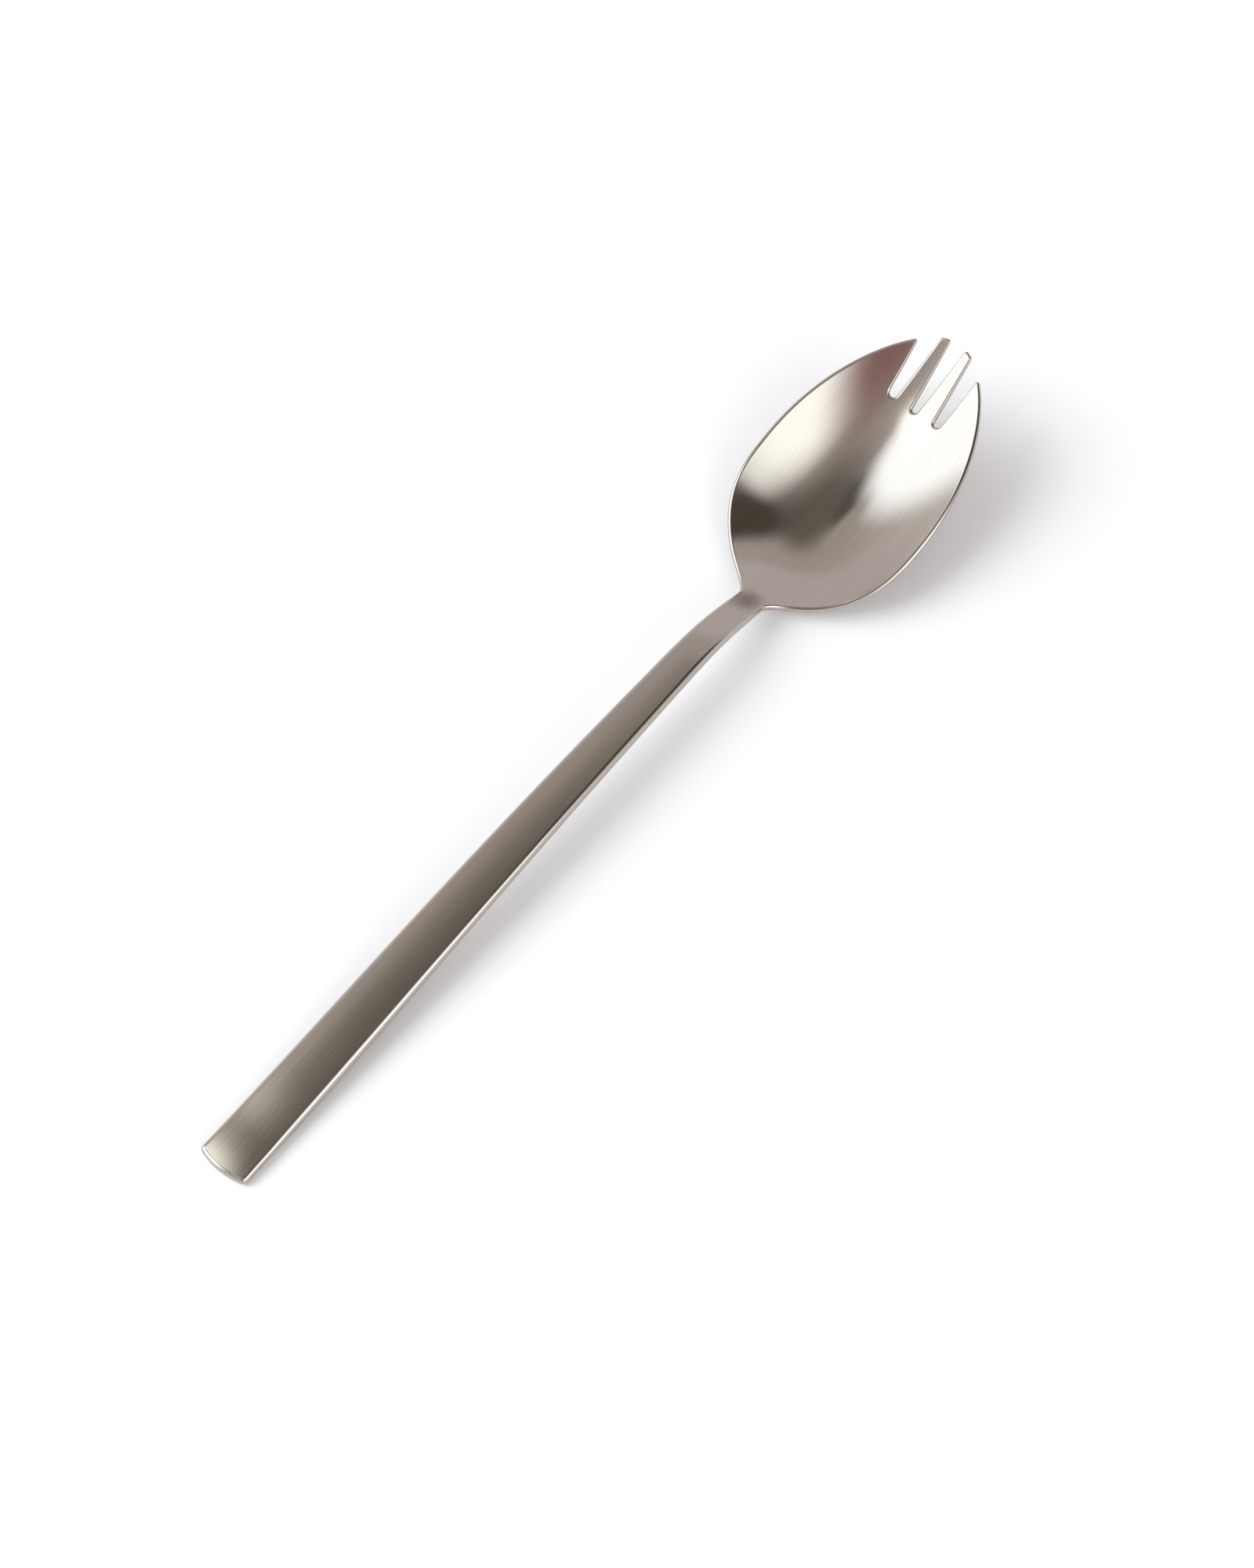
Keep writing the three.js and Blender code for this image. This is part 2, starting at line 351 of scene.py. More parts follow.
@dataclass(frozen=True)
class ForkShape:
    """The fork as one bent sheet of steel with rounded edges, worked out from its outline and side view."""

    outline: Outline = field(default_factory=Outline)
    side_view: SideView = field(default_factory=SideView)
    dish: Dish = field(default_factory=Dish)
    wall: Wall = field(default_factory=Wall)
    slots: Slots = field(default_factory=Slots)
    fineness: Fineness = field(default_factory=Fineness)

    @property
    def root(self) -> float:
        """The station of the centres of the slots' round roots."""
        return self.outline.front - self.slots.tine_length

    @property
    def end_inset(self) -> float:
        """How far the rounded edge stands out from the flat face at the end of the handle."""
        return self.wall.edge_share * (self.wall.handle - self.wall.end_ease)

    def thickness(self, station: Array, side: Array) -> Array:
        """Returns the thickness of the sheet at each place."""
        return self.wall.thickness(station, side, self.outline, self.root, self.slots.tine_length)

    def solve_falling(self, measure: Callable[[float], float], low: float, high: float) -> float:
        """Finds where a falling measure reaches zero, by halving the range between two places.

        Args:
            measure: A measure that falls as its place grows.
            low: A place where it is above zero.
            high: A place where it is below zero.

        Returns:
            The place where it is zero.
        """
        for _ in range(self.fineness.solve_steps):
            middle = (low + high) / 2
            if measure(middle) > 0:
                low = middle
            else:
                high = middle
        return (low + high) / 2

    def solve_drop(self) -> float:
        """Finds the drop that brings the bowl's underside to the table that the handle's end rests on.

        The underside lies lower than the middle line by half the thickness, and that line is the handle's
        own half thickness up on the table.

        Returns:
            The height of the drop.
        """
        station = np.linspace(self.outline.heel, self.outline.front, self.fineness.survey_steps + 1)
        fixed = self.side_view.arch(station) + self.side_view.rise(station, self.outline)
        fixed = fixed + (self.wall.handle - self.thickness(station, np.zeros_like(station))) / 2
        share = self.side_view.drop(station, self.outline)
        limit = self.side_view.arch_height + self.side_view.front_rise
        return self.solve_falling(lambda height: float(np.min(fixed - height * share)), 0.0, limit)

    def sheet_height(self, station: Array, side: Array, drop_height: float) -> Array:
        """Works out the height of the sheet's middle over the table.

        It is half the handle's thickness, plus the arch, minus the drop, plus the rise of the front, plus the
        dish's bend times the square of the distance from the middle line, minus half the ease of the top.
        """
        line = self.side_view.arch(station) - drop_height * self.side_view.drop(station, self.outline)
        line = line + self.side_view.rise(station, self.outline)
        line = line - self.wall.top_ease(station, side, self.outline) / 2
        return self.wall.handle / 2 + line + self.dish.bend(station, self.outline) * side**2

    def places(self, station: Array, side: Array, drop_height: float) -> Places:
        """Works out the sheet at some stations and sides.

        The direction square to the sheet is (-climb along, -climb across, 1), scaled to length 1. Each climb
        is measured over a short reach each way.

        Args:
            station: Distances from the handle's end.
            side: Distances from the middle line, of the same shape.
            drop_height: The drop that solve_drop finds.

        Returns:
            The places.
        """
        reach = self.fineness.slope_reach
        ahead = self.sheet_height(station + reach, side, drop_height)
        behind = self.sheet_height(station - reach, side, drop_height)
        left = self.sheet_height(station, side + reach, drop_height)
        right = self.sheet_height(station, side - reach, drop_height)
        along = (ahead - behind) / (2 * reach)
        across = (left - right) / (2 * reach)
        normal = np.stack([-along, -across, np.ones_like(along)], axis=-1)
        normal /= np.linalg.norm(normal, axis=-1, keepdims=True)
        middle = np.stack([station, side, self.sheet_height(station, side, drop_height)], axis=-1)
        return Places(middle, normal, self.thickness(station, side), station, side)

    def face_half_width(self, station: Array) -> Array:
        """Works out the half width of the flat faces, inside the rounded edges.

        It is the half width less the edge's share of the thickness, and at the handle's end a quarter circle
        of the corner's radius draws it in.
        """
        outline = self.outline
        outer = outline.half_width(station)
        face = outer - self.wall.edge_share * self.thickness(station, outer)
        radius = outline.corner_radius
        into_corner = np.clip(radius + self.end_inset - station, 0.0, radius)
        return face - radius + np.sqrt(radius**2 - into_corner**2)

    def tine_lines(self, station: Array) -> tuple[Array, Array, Array]:
        """Returns both sides of an inner tine's flat face, and the inner side of an outer tine's."""
        rim = np.full_like(station, self.outline.bowl_width / 2)
        return self.slots.lines(station, self.root, self.wall.edge_share * self.thickness(station, rim))

    def strip_sides(self, strip: Strip, sign: float, station: Array) -> tuple[Array, Array]:
        """Works out where a strip's flat face lies across the fork, as distances from the middle line.

        Args:
            strip: Which strip.
            sign: 1 on the fork's left and -1 on its right, where the strip is a mirror image.
            station: Distances from the handle's end.

        Returns:
            The strip's two sides, lowest first.
        """
        inner_start, inner_end, outer_start = self.tine_lines(station)
        start, end = {
            Strip.OUTER_TINE: (outer_start, self.face_half_width(station)),
            Strip.INNER_TINE: (inner_start, inner_end),
            Strip.OUTER_SLOT: (inner_end, outer_start),
            Strip.MIDDLE_SLOT: (-inner_start, inner_start),
        }[strip]
        return (start, end) if sign > 0 else (-end, -start)

    def tip(self, strip: Strip, share: Array) -> Array:
        """Works out the stations of a tine's tip on the fork's left.

        An outer tine ends where its inner side comes within the tip's width of the rim. An inner tine ends on
        the front of the blank, which is the outline's front curve solved for the station. Both tips have
        corners of a quarter circle: the cut at a distance e into a corner of radius r is
        r - sqrt(r^2 - (r - e)^2).

        Args:
            strip: Which tine.
            share: Shares of the tine's width, from its inner side.

        Returns:
            The station of the tip at each share.
        """
        outline = self.outline
        if strip is Strip.OUTER_TINE:
            base = np.full_like(share, self.outer_tip_station())
            width = self.slots.outer_tip_width
            corner = width / 2
        else:
            start, end, _ = self.tine_lines(np.array(outline.front))
            side = mix(start, end, share)
            half = outline.bowl_width / 2
            ahead = (1.0 - (side / half) ** (1.0 / outline.front_roundness)) ** (1.0 / outline.front_shoulder)
            base = outline.widest + outline.front_length * ahead
            base = base - self.wall.edge_share * self.wall.tine_tip
            width = end - start
            corner = self.slots.tine_corner
        into = np.minimum(np.minimum(share, 1.0 - share) * width, corner)
        return base - corner + np.sqrt(corner**2 - (corner - into) ** 2)

    def outer_tip_station(self) -> float:
        """Returns the station where an outer tine's two sides come within its tip's width."""

        def measure(station: float) -> float:
            place = np.array(station)
            return float(self.face_half_width(place) - self.tine_lines(place)[2] - self.slots.outer_tip_width)

        return self.solve_falling(measure, self.root, self.outline.front)


@dataclass(frozen=True)
class Surface:
    """A surface ready for Blender: its points, its four-sided faces, and what each face corner carries."""

    points: Array
    faces: Array
    corner_uv: Array
    corner_edge: Array


class ForkSurface:
    """Builds the fork's closed surface from a grid of places on the sheet.

    The grid's columns belong to seven strips across the fork, a tine or the slot beside it. Its rows run from
    the handle's end to the round roots of the slots, and from there on only along the tines.
    """

    def __init__(self, shape: ForkShape) -> None:
        """Lays out the grid for a shape."""
        self.shape = shape
        self.drop_height = shape.solve_drop()
        self.rows = self.body_rows()
        self.root_row = len(self.rows) - 1
        self.last_row = self.root_row + shape.fineness.tine_rows
        self.shares = [self.strip_shares(strip) for strip, _ in STRIP_ORDER]
        counts = [len(shares) for shares in self.shares]
        self.firsts = np.concatenate([[0], np.cumsum(counts)])
        self.strip_number = np.repeat(np.arange(len(STRIP_ORDER)), counts)
        self.on_tine = np.repeat([strip.is_tine for strip, _ in STRIP_ORDER], counts)
        self.places = self.grid_places()

    def body_rows(self) -> Array:
        """Spreads the rows from the handle's end to the slots, closest together at the corners of the end.

        Returns:
            The station of each row.
        """
        shape = self.shape
        fine = shape.fineness
        outline = shape.outline
        turn = np.linspace(0.0, math.pi / 2, fine.corner_rows, endpoint=False)
        corner = shape.end_inset + outline.corner_radius * (1.0 - np.cos(turn))
        fillet_station = outline.heel - outline.fillet
        bounds = (
            (shape.end_inset + outline.corner_radius, shape.side_view.rest_length, fine.rest_rows),
            (shape.side_view.rest_length, fillet_station, fine.handle_rows),
            (fillet_station, outline.widest, fine.neck_rows),
            (outline.widest, shape.root, fine.front_rows),
        )
        spreads = [np.linspace(start, end, count, endpoint=False) for start, end, count in bounds]
        return np.concatenate([corner, *spreads, [shape.root]])

    def strip_shares(self, strip: Strip) -> Array:
        """Spreads a strip's columns over its width, closest together at its sides.

        The n-th of N steps lies at (1 - cos(180 n/N)) / 2 of the width. A slot leaves out its two sides,
        which are columns of the tines beside it.
        """
        fine = self.shape.fineness
        steps = fine.tine_columns if strip.is_tine else fine.slot_columns
        shares = (1.0 - np.cos(np.linspace(0.0, math.pi, steps + 1))) / 2
        return shares if strip.is_tine else shares[1:-1]

    def grid_places(self) -> Places:
        """Works out the place of each row and column. The slots have none past their roots."""
        grids = [self.strip_grid(number) for number in range(len(STRIP_ORDER))]
        station = np.concatenate([grid[0] for grid in grids], axis=1)
        side = np.concatenate([grid[1] for grid in grids], axis=1)
        return self.shape.places(station, side, self.drop_height)

    def strip_grid(self, number: int) -> tuple[Array, Array]:
        """Works out the stations and sides of one strip's columns.

        Behind the slots each column keeps its share of the width. The first rows follow the bow of the
        handle's end, which is the bow times the square of that share, and the last rows of a slot bend back
        to its round root, by sqrt(radius^2 - distance^2) from the root's centre.

        Args:
            number: Which strip of STRIP_ORDER.

        Returns:
            The stations and the sides, with a row for each row of the grid.
        """
        shape = self.shape
        strip, sign = STRIP_ORDER[number]
        shares = self.shares[number]
        start, end = shape.strip_sides(strip, sign, np.array(shape.root))
        root_side = mix(start, end, shares)
        width_share = root_side / shape.face_half_width(np.array(shape.root))
        rows = self.rows[:, None]
        rest = shape.side_view.rest_length
        near_end = np.clip((rest - rows) / (rest - shape.end_inset), 0.0, 1.0)
        shift = shape.outline.end_bow * width_share**2 * near_end
        if not strip.is_tine:
            radius = (end - start) / 2
            arc = np.sqrt(radius**2 - (root_side - (start + end) / 2) ** 2)
            near_root = np.clip((rows - shape.root) / shape.slots.root_blend + 1.0, 0.0, 1.0)
            shift = shift - near_root * arc
        station = rows + shift
        side = width_share * shape.face_half_width(rows)
        tine_rows = shape.fineness.tine_rows
        if strip.is_tine:
            along = np.arange(1, tine_rows + 1)[:, None] / tine_rows
            tine_station = mix(shape.root, shape.tip(strip, shares if sign > 0 else 1.0 - shares), along)
            start, end = shape.strip_sides(strip, sign, tine_station)
            tine_side = mix(start, end, shares)
        else:
            tine_station = np.repeat(station[-1:], tine_rows, axis=0)
            tine_side = np.repeat(side[-1:], tine_rows, axis=0)
        return np.concatenate([station, tine_station]), np.concatenate([side, tine_side])

    def edge_path(self) -> tuple[Array, Array]:
        """Goes once round the edge of the sheet, anticlockwise from above.

        Returns:
            The row and the column of each place on the way.
        """
        last_column = len(self.strip_number) - 1
        runs = [(np.arange(self.root_row), 0)]
        for number, (strip, _) in enumerate(STRIP_ORDER):
            first, last = self.firsts[number], self.firsts[number + 1] - 1
            across = np.arange(first, last + 1)
            if strip.is_tine:
                out = np.arange(self.root_row, self.last_row)
                runs += [(out, first), (self.last_row, across), (out[::-1], last)]
            else:
                runs.append((self.root_row, across))
        runs.append((np.arange(self.root_row - 1, 0, -1), last_column))
        runs.append((0, np.arange(last_column, 0, -1)))
        pairs = [np.broadcast_arrays(*run) for run in runs]
        return np.concatenate([pair[0] for pair in pairs]), np.concatenate([pair[1] for pair in pairs])

    def build(self) -> Surface:
        """Joins the upper face, the lower face and the rounded edge into one closed surface.

        The edge is half an ellipse about the sheet's middle: with t the thickness, a point at the angle a
        lies edge_share * t * cos(a) outwards and t/2 * sin(a) upwards.

        Returns:
            The surface, with texture coordinates in metres, across and along the fork.
        """
        places = self.places
        present = np.ones(places.thick.shape, dtype=bool)
        present[self.root_row + 1 :] = self.on_tine
        number = np.cumsum(present).reshape(present.shape) - 1
        count = int(present.sum())
        half = places.normal * (places.thick / 2)[..., None]
        upper = (places.middle + half)[present]
        lower = (places.middle - half)[present]
        flat_uv = np.stack([places.side, places.station], axis=-1)[present]

        row, column = np.indices((present.shape[0] - 1, present.shape[1] - 1))
        same_tine = (self.strip_number[1:] == self.strip_number[:-1]) & self.on_tine[1:]
        filled = (row < self.root_row) | same_tine
        row, column = row[filled], column[filled]
        near, far = number[row, column], number[row + 1, column]
        near_next, far_next = number[row, column + 1], number[row + 1, column + 1]
        upper_faces = np.stack([near, far, far_next, near_next], axis=-1)
        lower_faces = upper_faces[:, ::-1] + count

        path = self.edge_path()
        edge = places.pick(*path)
        along = np.roll(edge.middle, -1, axis=0) - np.roll(edge.middle, 1, axis=0)
        outward = np.cross(along, edge.normal)
        outward /= np.linalg.norm(outward, axis=-1, keepdims=True)
        steps = self.shape.fineness.edge_steps
        turn = np.linspace(math.pi / 2, -math.pi / 2, steps + 1)[:, None, None]
        thick = edge.thick[:, None]
        reach = self.shape.wall.edge_share * thick
        rings = edge.middle + outward * reach * np.cos(turn) + edge.normal * thick / 2 * np.sin(turn)
        step_length = np.linalg.norm(np.diff(rings, axis=0), axis=-1)
        around = np.concatenate([np.zeros((1, len(reach))), np.cumsum(step_length, axis=0)])
        ring_uv = np.stack([edge.side, edge.station], axis=-1) + outward[:, [1, 0]] * around[..., None]

        path_number = number[path]
        fresh = 2 * count + np.arange((steps - 1) * len(path_number)).reshape(steps - 1, -1)
        ring_number = np.concatenate([path_number[None], fresh, path_number[None] + count])
        after = np.roll(ring_number, -1, axis=1)
        edge_faces = np.stack([ring_number[:-1], ring_number[1:], after[1:], after[:-1]], axis=-1)
        uv_after = np.roll(ring_uv, -1, axis=1)
        edge_uv = np.stack([ring_uv[:-1], ring_uv[1:], uv_after[1:], uv_after[:-1]], axis=-2)

        points = np.concatenate([upper, lower, rings[1:-1].reshape(-1, 3)])
        faces = np.concatenate([upper_faces, lower_faces, edge_faces.reshape(-1, 4)])
        flat_corners = np.concatenate([flat_uv, flat_uv])[np.concatenate([upper_faces, lower_faces])]
        corner_uv = np.concatenate([flat_corners.reshape(-1, 2), edge_uv.reshape(-1, 2)])
        corner_edge = np.zeros(len(corner_uv))
        corner_edge[flat_corners.shape[0] * 4 :] = 1.0
        return Surface(points, faces, corner_uv, corner_edge)


class Fork:
    """The fork as a Blender object."""

    def __init__(self, shape: ForkShape, finish: "BrushedSteel") -> None:
        """Keeps the shape and the finish.

        Args:
            shape: The fork's shape.
            finish: The steel's finish.
        """
        self.shape = shape
        self.finish = finish

    def build(self) -> bpy.types.Object:
        """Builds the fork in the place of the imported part, and holds it inside that part's box.

        Returns:
            The fork.
        """
        low, high = (np.array(corner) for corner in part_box(NODE))
        surface = ForkSurface(self.shape).build()
        placed = surface.points + [low[0] - surface.points[:, 0].min(), 0.0, 0.0]
        points = np.clip(placed, low, high)
        moved = float(np.abs(points - placed).max())
        facts = (len(points), len(surface.faces), moved / MM)
        LOG.info("fork: %d points, %d faces, moved by %.4f mm to fit", *facts)
        mesh = bpy.data.meshes.new("fork")
        mesh.from_pydata(points.tolist(), [], surface.faces.tolist())
        mesh.uv_layers.new(name=self.finish.uv_name).data.foreach_set("uv", surface.corner_uv.ravel() / MM)
        edge = mesh.attributes.new(self.finish.edge_name, "FLOAT", "CORNER")
        edge.data.foreach_set("value", surface.corner_edge)
        mesh.shade_smooth()
        mesh.materials.append(self.finish.material())
        fork = bpy.data.objects.new("fork", mesh)
        bpy.context.scene.collection.objects.link(fork)
        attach(fork, "root")
        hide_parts(NODE)
        return fork


def linear(colour: str) -> tuple[float, float, float, float]:
    """Turns an sRGB hex colour into linear RGBA.

    Each channel c up to 0.04045 becomes c/12.92, and above that ((c + 0.055)/1.055)^2.4.

    Args:
        colour: Six hex digits after a number sign.

    Returns:
        The linear colour with an alpha of 1.
    """
    channels = [int(colour[place : place + 2], 16) / 255 for place in (1, 3, 5)]
    red, green, blue = (c / 12.92 if c <= 0.04045 else ((c + 0.055) / 1.055) ** 2.4 for c in channels)
    return red, green, blue, 1.0


class Nodes:
    """A node tree that is put together one node at a time."""

    def __init__(self, tree: bpy.types.NodeTree) -> None:
        """Keeps the tree and empties it."""
        self.tree = tree
        tree.nodes.clear()

    @classmethod
    def of(cls, owner: bpy.types.Material | bpy.types.World) -> "Nodes":
        """Returns the empty tree of a material or of the world."""
        owner.use_nodes = True
        return cls(owner.node_tree)

    def add(self, kind: str, inputs: dict | None = None, **settings: object) -> bpy.types.Node:
        """Adds a node with its settings, values and links.

        Args:
            kind: The node's type.
            inputs: A value or an output socket for each input, by name or number.
            settings: The node's own properties.

        Returns:
            The node.
        """
        node = self.tree.nodes.new(kind)
        for name, value in settings.items():
            setattr(node, name, value)
        for key, value in (inputs or {}).items():
            if isinstance(value, bpy.types.NodeSocket):
                self.tree.links.new(value, node.inputs[key])
            else:
                node.inputs[key].default_value = value
        return node

    def math(self, operation: str, *values: object) -> bpy.types.NodeSocket:
        """Adds a sum on numbers and returns its output."""
        return self.add("ShaderNodeMath", dict(enumerate(values)), operation=operation).outputs[0]

    def soft_step(
        self, value: bpy.types.NodeSocket, low: float, high: float, start: float, end: float
    ) -> bpy.types.NodeSocket:
        """Adds a smooth change from start to end while a value goes from low to high."""
        inputs = {"Value": value, "From Min": low, "From Max": high, "To Min": start, "To Max": end}
        return self.add("ShaderNodeMapRange", inputs, interpolation_type="SMOOTHSTEP").outputs[0]

    def dot(self, direction: bpy.types.NodeSocket, axis: Vector) -> bpy.types.NodeSocket:
        """Adds the share of a direction that lies along an axis and returns its output."""
        inputs = {0: direction, 1: tuple(axis)}
        return self.add("ShaderNodeVectorMath", inputs, operation="DOT_PRODUCT").outputs["Value"]

    def soft_ellipse(
        self, across: bpy.types.NodeSocket, upward: bpy.types.NodeSocket, softness: float
    ) -> bpy.types.NodeSocket:
        """Adds a soft ellipse, which is 1 inside and 0 outside.

        Its border lies where the root of across^2 + upward^2 is 1, and fades by a smooth step about that.

        Args:
            across: The place across it, as a share of its half width.
            upward: The place along it, as a share of its half height.
            softness: Half the width of the border, in the same shares.

        Returns:
            How far the place lies inside.
        """
        squares = [self.math("POWER", share, 2.0) for share in (across, upward)]
        distance = self.math("SQRT", self.math("ADD", *squares))
        return self.soft_step(distance, 1.0 - softness, 1.0 + softness, 1.0, 0.0)

    def mix_colour(self, share: object, first: object, second: object) -> bpy.types.NodeSocket:
        """Adds a mix of two colours and returns its output."""
        node = self.add("ShaderNodeMix", {"Factor": share}, data_type="RGBA")
        for key, value in (("A", first), ("B", second)):
            socket = next(s for s in node.inputs if s.name == key and s.type == "RGBA")
            if isinstance(value, bpy.types.NodeSocket):
                self.tree.links.new(value, socket)
            else:
                socket.default_value = value
        return next(s for s in node.outputs if s.type == "RGBA")


@dataclass(frozen=True)
class BrushedSteel:
    """Stainless steel brushed along the fork with a fine abrasive belt, its rounded edges polished.

    The marks of the belt are 0.2 mm apart and about 12 mm long. They are finer than that in the real
    finish and are drawn coarser here, because finer ones wouldn't show at the size of the render. The two
    ranges are the values of the noise between which its tint and its roughness change.
    """

    colour: str = "#b8b0a8"
    dark_colour: str = "#b4aca4"
    tint_range: tuple[float, float] = (0.35, 0.65)
    roughness: float = 0.12
    roughness_swing: float = 0.01
    roughness_range: tuple[float, float] = (0.3, 0.7)
    edge_roughness: float = 0.1
    anisotropy: float = 0.4
    mark_pitch: float = 0.2 * MM
    mark_length: float = 12.0 * MM
    mark_depth: float = 0.0005 * MM
    mark_strength: float = 0.07
    mark_detail: float = 2.0
    uv_name: str = "brushing"
    edge_name: str = "rounded_edge"

    def material(self) -> bpy.types.Material:
        """Builds the material. The texture coordinates are millimetres across and along the fork."""
        material = bpy.data.materials.new("Stainless steel, belt brushed")
        nodes = Nodes.of(material)
        marks = self.marks(nodes)
        edge = nodes.add("ShaderNodeAttribute", attribute_name=self.edge_name).outputs["Fac"]
        tint_share = nodes.soft_step(marks, *self.tint_range, 0.0, 1.0)
        smoothest = self.roughness - self.roughness_swing
        roughest = self.roughness + self.roughness_swing
        swing = nodes.soft_step(marks, *self.roughness_range, smoothest, roughest)
        roughness_inputs = {"Factor": edge, "A": swing, "B": self.edge_roughness}
        bump_inputs = {"Height": marks, "Strength": self.mark_strength, "Distance": self.mark_depth}
        tangent = nodes.add("ShaderNodeTangent", direction_type="UV_MAP", uv_map=self.uv_name)
        shader_inputs = {
            "Base Color": nodes.mix_colour(tint_share, linear(self.dark_colour), linear(self.colour)),
            "Metallic": 1.0,
            "Roughness": nodes.add("ShaderNodeMix", roughness_inputs).outputs[0],
            "Anisotropic": self.anisotropy,
            "Normal": nodes.add("ShaderNodeBump", bump_inputs).outputs[0],
            "Tangent": tangent.outputs[0],
        }
        shader = nodes.add("ShaderNodeBsdfPrincipled", shader_inputs).outputs[0]
        nodes.add("ShaderNodeOutputMaterial", {"Surface": shader})
        return material

    def marks(self, nodes: Nodes) -> bpy.types.NodeSocket:
        """Adds the marks of the belt, which are noise stretched along the fork, and returns their output."""
        place = nodes.add("ShaderNodeUVMap", uv_map=self.uv_name).outputs[0]
        scale = (MM / self.mark_pitch, MM / self.mark_length, 1.0)
        stretched = nodes.add("ShaderNodeMapping", {"Vector": place, "Scale": scale}).outputs[0]
        noise_inputs = {"Vector": stretched, "Scale": 1.0, "Detail": self.mark_detail}
        return nodes.add("ShaderNodeTexNoise", noise_inputs).outputs[0]


@dataclass(frozen=True)
class Panel:
    """A soft patch of the studio's surroundings, seen from the fork.

    Angles are in degrees: the azimuth is anticlockwise from +X, the elevation is over the table, and the half
    sizes reach from the patch's centre to the middle of its soft border.
    """

    azimuth: float
    elevation: float
    half_width: float
    half_height: float
    softness: float
    colour: str
    strength: float = 1.0

    def axes(self) -> Matrix:
        """Returns the patch's own axes as columns: towards it, across it and up it."""
        turn = Matrix.Rotation(math.radians(self.azimuth), 3, "Z")
        return turn @ Matrix.Rotation(-math.radians(self.elevation), 3, "Y")


@dataclass(frozen=True)
class Softbox:
    """A glowing cloth near the fork, whose half sizes reach to the middle of its soft border, in metres."""

    half_width: float = 17.5 * MM
    half_length: float = 72.0 * MM
    softness: float = 0.52
    colour: str = "#f9fff9"
    strength: float = 2.9
    place: tuple[float, float, float] = (-67.5 * MM, 130.0 * MM, 250.0 * MM)


@dataclass(frozen=True)
class KeyLamp:
    """A large round lamp that points at the origin, in metres and watts."""

    size: float = 0.9
    energy: float = 7.0
    place: tuple[float, float, float] = (-0.57, 0.755, 0.74)


@dataclass(frozen=True)
class View:
    """The photograph's view.

    The focal length and the sensor are in millimetres, as Blender has them. The camera looks down by the tilt
    from level, and along the heading, which is clockwise from +Y. Both are in degrees.
    """

    focal_length: float = 90.0
    sensor_width: float = 36.0
    tilt: float = 63.775
    heading: float = 49.793
    place: tuple[float, float, float] = (-176.354 * MM, -153.298 * MM, 469.342 * MM)

    def matrix(self) -> Matrix:
        """Returns the camera's place and axes, of which -Z is the direction that it looks in."""
        tilt, heading = math.radians(self.tilt), math.radians(self.heading)
        right = Vector((math.cos(heading), -math.sin(heading), 0.0))
        level = math.sin(tilt)
        up = Vector((level * math.sin(heading), level * math.cos(heading), math.cos(tilt)))
        turned = Matrix((right, up, right.cross(up))).transposed().to_4x4()
        return Matrix.Translation(self.place) @ turned


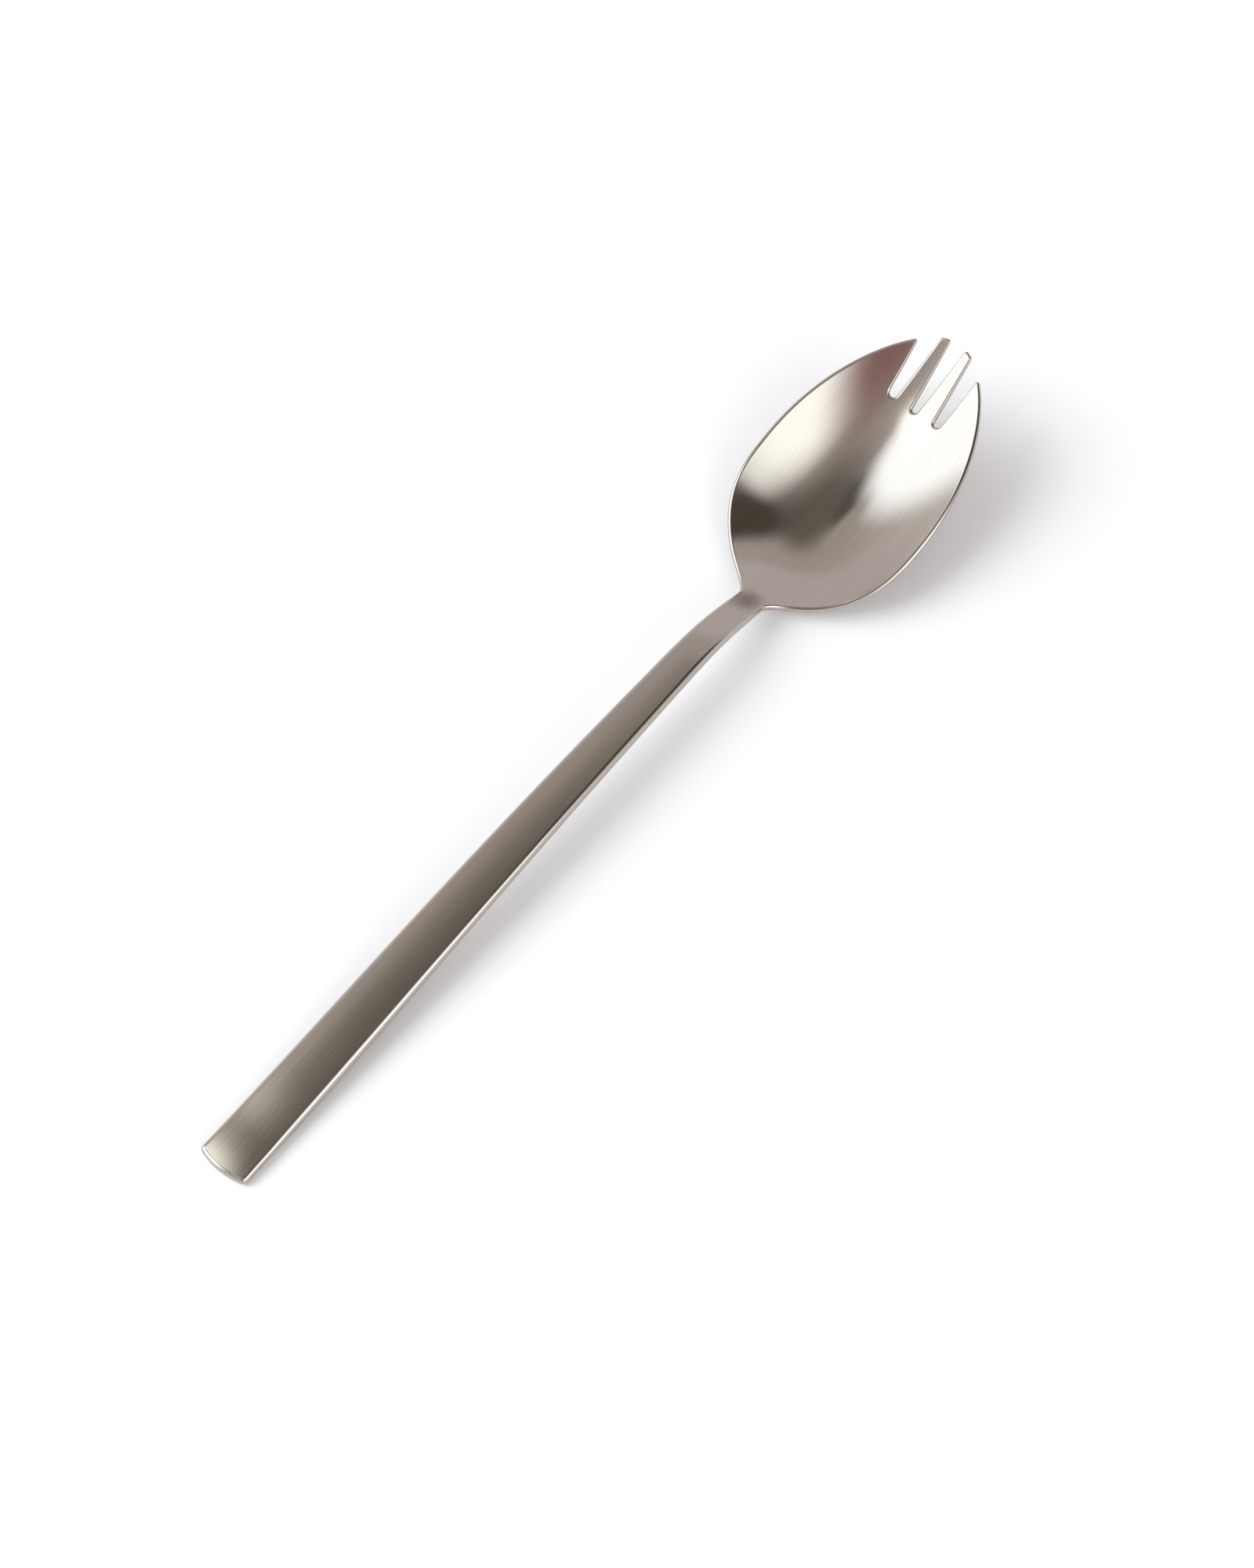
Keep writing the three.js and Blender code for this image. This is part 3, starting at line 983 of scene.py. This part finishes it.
@dataclass(frozen=True)
class Studio:
    """The white surface, the soft surroundings that the steel mirrors, the lamps and the camera."""

    floor_half_width: float = 3.0
    floor_colour: str = "#f3f3f4"
    surroundings_low: str = "#fffdfb"
    surroundings_high: str = "#cec7c4"
    # Azimuth, elevation, half width, half height, softness, colour and, where it isn't 1, strength.
    panels: Sequence[Panel] = (
        Panel(27.0, 22.0, 53.0, 23.0, 0.25, "#e8e2e3"),
        Panel(106.0, 69.0, 8.0, 13.0, 0.4, "#35342a"),
        Panel(38.0, 86.2, 18.0, 18.0, 0.65, "#817c75"),
        Panel(310.0, 52.0, 15.0, 27.0, 0.5, "#5d5950"),
        Panel(248.0, 40.0, 27.0, 25.0, 0.4, "#f8ffff", 2.3),
        Panel(215.0, 43.0, 18.0, 23.0, 0.65, "#ae8787"),
        Panel(126.0, 11.0, 32.0, 56.0, 0.25, "#eff8ff", 2.5),
        Panel(84.0, 61.5, 9.0, 6.0, 0.4, "#cfcac4"),
        Panel(277.0, 22.0, 10.0, 12.0, 0.3, "#f5f9ff", 3.0),
        Panel(13.0, 5.5, 20.0, 12.5, 0.15, "#7a736c"),
    )
    softbox: Softbox = Softbox()
    key: KeyLamp = KeyLamp()
    view: View = View()

    def build(self) -> None:
        """Builds everything around the fork."""
        self.build_floor()
        self.build_world()
        self.build_softbox()
        self.build_lamp()
        self.build_camera()

    def build_floor(self) -> None:
        """Builds the white surface, which the light brings just to white where no shadow falls."""
        material = bpy.data.materials.new("White table top, matt")
        nodes = Nodes.of(material)
        shader = nodes.add("ShaderNodeBsdfDiffuse", {"Color": linear(self.floor_colour)}).outputs[0]
        nodes.add("ShaderNodeOutputMaterial", {"Surface": shader})
        self.build_sheet("floor", self.floor_half_width, self.floor_half_width, material)

    def build_sheet(
        self, name: str, half_width: float, half_length: float, material: bpy.types.Material
    ) -> bpy.types.Object:
        """Builds a flat rectangle about the origin that belongs to the studio.

        Args:
            name: Its name.
            half_width: Half its size along X.
            half_length: Half its size along Y.
            material: What it is made of.

        Returns:
            The rectangle.
        """
        x, y = half_width, half_length
        mesh = bpy.data.meshes.new(name)
        mesh.from_pydata([(-x, -y, 0), (x, -y, 0), (x, y, 0), (-x, y, 0)], [], [(0, 1, 2, 3)])
        mesh.materials.append(material)
        sheet = bpy.data.objects.new(name, mesh)
        bpy.context.scene.collection.objects.link(sheet)
        return sheet

    def build_world(self) -> None:
        """Builds the surroundings: a plain gradient with soft patches laid over it, by direction."""
        world = bpy.data.worlds.new("studio")
        bpy.context.scene.world = world
        nodes = Nodes.of(world)
        direction = nodes.add("ShaderNodeTexCoord").outputs["Generated"]
        up = nodes.add("ShaderNodeSeparateXYZ", {0: direction}).outputs["Z"]
        share = nodes.soft_step(up, 0.0, 1.0, 0.0, 1.0)
        colour = nodes.mix_colour(share, linear(self.surroundings_low), linear(self.surroundings_high))
        for panel in self.panels:
            shown = self.panel_share(nodes, direction, panel)
            tint = [channel * panel.strength for channel in linear(panel.colour)[:3]]
            colour = nodes.mix_colour(shown, colour, (*tint, 1.0))
        path = nodes.add("ShaderNodeLightPath")
        seen = nodes.mix_colour(path.outputs["Is Camera Ray"], colour, linear("#ffffff"))
        background = nodes.add("ShaderNodeBackground", {"Color": seen, "Strength": 1.0}).outputs[0]
        nodes.add("ShaderNodeOutputWorld", {"Surface": background})

    def panel_share(
        self, nodes: Nodes, direction: bpy.types.NodeSocket, panel: Panel
    ) -> bpy.types.NodeSocket:
        """Adds how far a patch covers the surroundings, from 0 to 1.

        The direction's shares along the patch's own three axes give the slopes x/depth and y/depth, with the
        depth held above a thousandth. They count as shares of the slopes of the half sizes, and nothing shows
        on the far side of the fork.

        Args:
            nodes: The world's nodes.
            direction: The direction of the ray.
            panel: The patch.

        Returns:
            The share.
        """
        depth, across, upward = (nodes.dot(direction, axis) for axis in panel.axes().transposed())
        held = nodes.math("MAXIMUM", depth, 0.001)
        shares = [
            nodes.math("DIVIDE", nodes.math("DIVIDE", part, held), math.tan(math.radians(half)))
            for part, half in ((across, panel.half_width), (upward, panel.half_height))
        ]
        inside = nodes.soft_ellipse(*shares, panel.softness)
        return nodes.math("MULTIPLY", inside, nodes.math("GREATER_THAN", depth, 0.0))

    def build_softbox(self) -> None:
        """Builds the near softbox, which only mirror rays see.

        It is so near that its border falls across the last millimetres of the handle. The bowl mirrors it
        too, in front of a panel that is about as bright.
        """
        box = self.softbox
        material = bpy.data.materials.new("Softbox, glowing cloth")
        nodes = Nodes.of(material)
        place = nodes.add("ShaderNodeTexCoord").outputs["Object"]
        parts = nodes.add("ShaderNodeSeparateXYZ", {0: place}).outputs
        shares = [
            nodes.math("DIVIDE", part, half)
            for part, half in ((parts["X"], box.half_width), (parts["Y"], box.half_length))
        ]
        inside = nodes.soft_ellipse(*shares, box.softness)
        glow_inputs = {"Color": linear(box.colour), "Strength": box.strength}
        glow = nodes.add("ShaderNodeEmission", glow_inputs).outputs[0]
        clear = nodes.add("ShaderNodeBsdfTransparent").outputs[0]
        shader = nodes.add("ShaderNodeMixShader", {0: inside, 1: clear, 2: glow}).outputs[0]
        nodes.add("ShaderNodeOutputMaterial", {"Surface": shader})
        reach = 1.0 + box.softness
        sheet = self.build_sheet("softbox", box.half_width * reach, box.half_length * reach, material)
        sheet.location = box.place
        for ray in ("camera", "diffuse", "transmission", "volume_scatter", "shadow"):
            setattr(sheet, f"visible_{ray}", False)

    def build_lamp(self) -> None:
        """Builds the key lamp, which throws the fork's shadow towards -Y and isn't mirrored."""
        light = bpy.data.lights.new("key", "AREA")
        light.shape = "DISK"
        light.size = self.key.size
        light.energy = self.key.energy
        lamp = bpy.data.objects.new("key", light)
        place = Vector(self.key.place)
        lamp.matrix_world = Matrix.Translation(place) @ (-place).to_track_quat("-Z", "Y").to_matrix().to_4x4()
        lamp.visible_glossy = False
        bpy.context.scene.collection.objects.link(lamp)

    def build_camera(self) -> None:
        """Builds the camera, at the photograph's place and angle."""
        lens = bpy.data.cameras.new("camera")
        lens.lens = self.view.focal_length
        lens.sensor_width = self.view.sensor_width
        camera = bpy.data.objects.new("camera", lens)
        camera.matrix_world = self.view.matrix()
        bpy.context.scene.collection.objects.link(camera)
        bpy.context.scene.camera = camera


def main() -> None:
    """Builds the fork and the studio, and sets the standard view transform."""
    logging.basicConfig(level=logging.INFO, format="%(name)s: %(message)s")
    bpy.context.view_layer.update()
    Fork(ForkShape(), BrushedSteel()).build()
    Studio().build()
    bpy.context.scene.view_settings.view_transform = "Standard"


if __name__ == "__main__":
    main()
